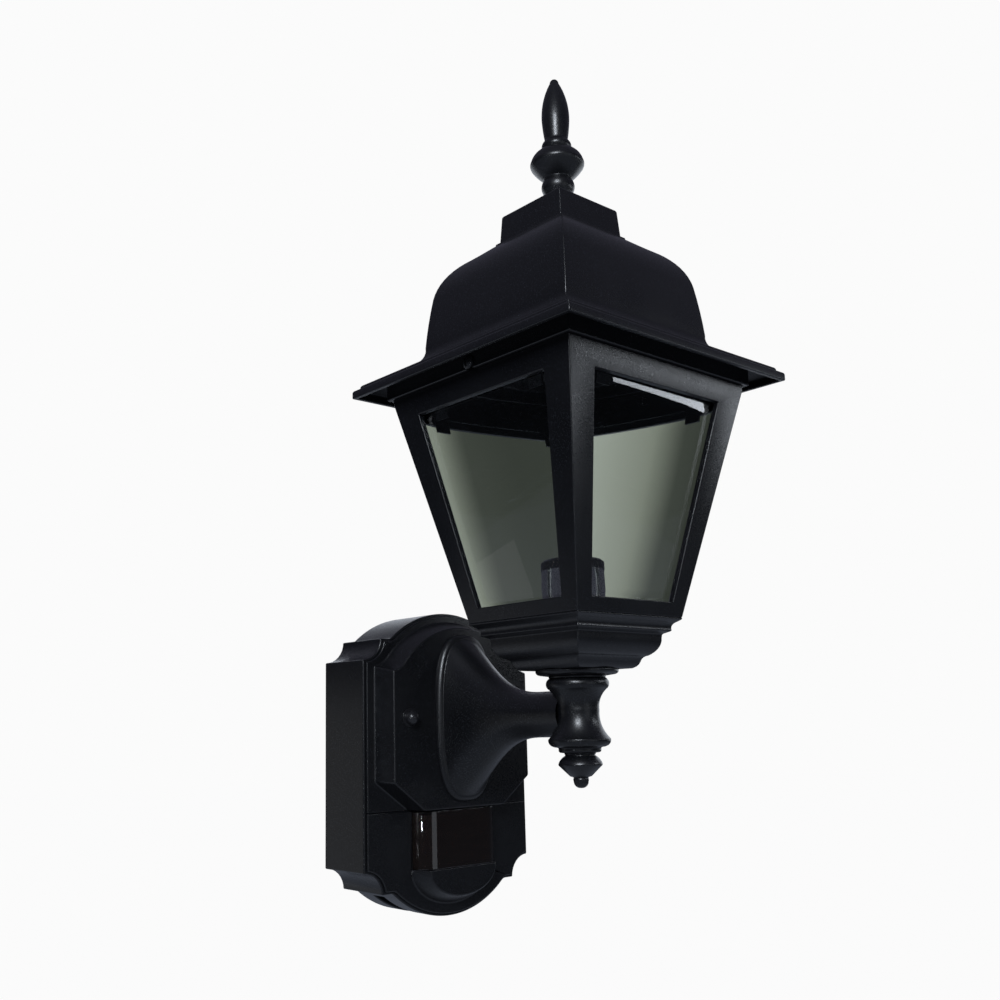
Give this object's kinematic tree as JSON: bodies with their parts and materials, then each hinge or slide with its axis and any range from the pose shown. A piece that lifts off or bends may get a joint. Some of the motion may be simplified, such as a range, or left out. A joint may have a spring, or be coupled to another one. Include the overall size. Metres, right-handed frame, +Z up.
{
  "type": "outdoor wall lantern",
  "caption": "Black outdoor wall lantern: tapered glass-paned cage with a lift-off roof, on a flared arm, with a motion sensor and its controls in the wall box.",
  "frame": {"origin": "on the wall plane, at the middle of the wall box's straight sides, on the mounting bracket's rear face", "axes": "+Z up; -Y out of the wall along the arm, so +Y points into the wall; +X to the right of a person who faces the wall"},
  "size_m": [0.17, 0.232, 0.4802],
  "materials": {
    "black_casting": "satin black powder coat with a fine even grain, over cast aluminium",
    "black_steel": "satin black paint on steel",
    "zinc_steel": "bright zinc plating on steel",
    "green_steel": "green paint on steel",
    "brass": "plain machined brass",
    "bright_metal": "polished, drawn thin metal",
    "pane_glass": "clear plate glass with a polished bevel",
    "smoked_window": "glossy smoked brown plastic",
    "lens_plastic": "milky, ribbed infrared lens plastic",
    "circuit_board": "green solder mask",
    "green_plastic": "plain moulded plastic",
    "blue_plastic": "plain moulded plastic",
    "capacitor_sleeve": "glossy shrink sleeve",
    "ceramic": "plain resin",
    "dark_plastic": "fine spark-eroded moulding texture",
    "phenolic": "black phenolic moulding",
    "gasket_foam": "closed-cell foam rubber",
    "black_wire": "smooth wire insulation",
    "white_wire": "smooth wire insulation"
  },
  "bodies": {
    "fixture": {"wall_bracket": "zinc_steel", "ground_screw": "green_steel", "mounting_studs": "zinc_steel", "cap_nuts": "black_steel", "back_gasket": "gasket_foam", "back_box": "black_casting", "arm_plate": "black_casting", "sensor_cover": "black_casting", "cover_screws": "zinc_steel", "sensor_window": "smoked_window", "fresnel_lens": "lens_plastic", "sensor_board": "circuit_board", "board_screws": "zinc_steel", "heat_sensor": "zinc_steel", "light_sensor": "ceramic", "lamp_relay": "blue_plastic", "smoothing_capacitor": "capacitor_sleeve", "terminal_block": "green_plastic", "control_tray": "dark_plastic", "range_pot": "blue_plastic", "switch_body": "dark_plastic", "arm": "black_casting", "arm_screws": "zinc_steel", "hub": "black_casting", "drop_finial": "black_casting", "collar": "black_casting", "nipple": "brass", "lock_washer": "zinc_steel", "nipple_nut": "brass", "lantern_base": "black_casting", "base_screws": "zinc_steel", "cage": "black_casting", "glass_front": "pane_glass", "glass_back": "pane_glass", "glass_left": "pane_glass", "glass_right": "pane_glass", "glass_clips": "black_steel", "socket_bracket": "zinc_steel", "socket_body": "phenolic", "socket_sleeve": "bright_metal", "socket_shell": "bright_metal", "socket_contact": "brass", "socket_screws": "brass", "lamp_lead_black": "black_wire", "lamp_lead_white": "white_wire"},
    "roof": {"roof": "black_casting", "roof_cap": "black_casting", "top_finial": "black_casting", "finial_stud": "zinc_steel", "finial_nut": "zinc_steel"},
    "left_roof_screw": {"roof_screw_left": "black_steel"},
    "right_roof_screw": {"roof_screw_right": "black_steel"},
    "dial": {"range_dial": "dark_plastic"},
    "switch": {"time_switch": "dark_plastic"}
  },
  "joints": [
    {"name": "roof_lift", "type": "slide", "parent": "fixture", "child": "roof", "axis": [0, 0, 1], "range_m": [0, 0.15]},
    {"name": "left_screw_turn", "type": "hinge", "parent": "fixture", "child": "left_roof_screw", "pos_m": [-0.0714, -0.147, 0.2046], "axis": [-1, 0, 0], "range_deg": [0, 810]},
    {"name": "right_screw_turn", "type": "hinge", "parent": "fixture", "child": "right_roof_screw", "pos_m": [0.0714, -0.147, 0.2046], "axis": [1, 0, 0], "range_deg": [0, 810]},
    {"name": "range_dial_turn", "type": "hinge", "parent": "fixture", "child": "dial", "pos_m": [-0.016, -0.0195, -0.07], "axis": [0, 0, 1], "range_deg": [-135, 135]},
    {"name": "time_switch_slide", "type": "slide", "parent": "fixture", "child": "switch", "axis": [1, 0, 0], "range_m": [0, 0.006]}
  ]
}
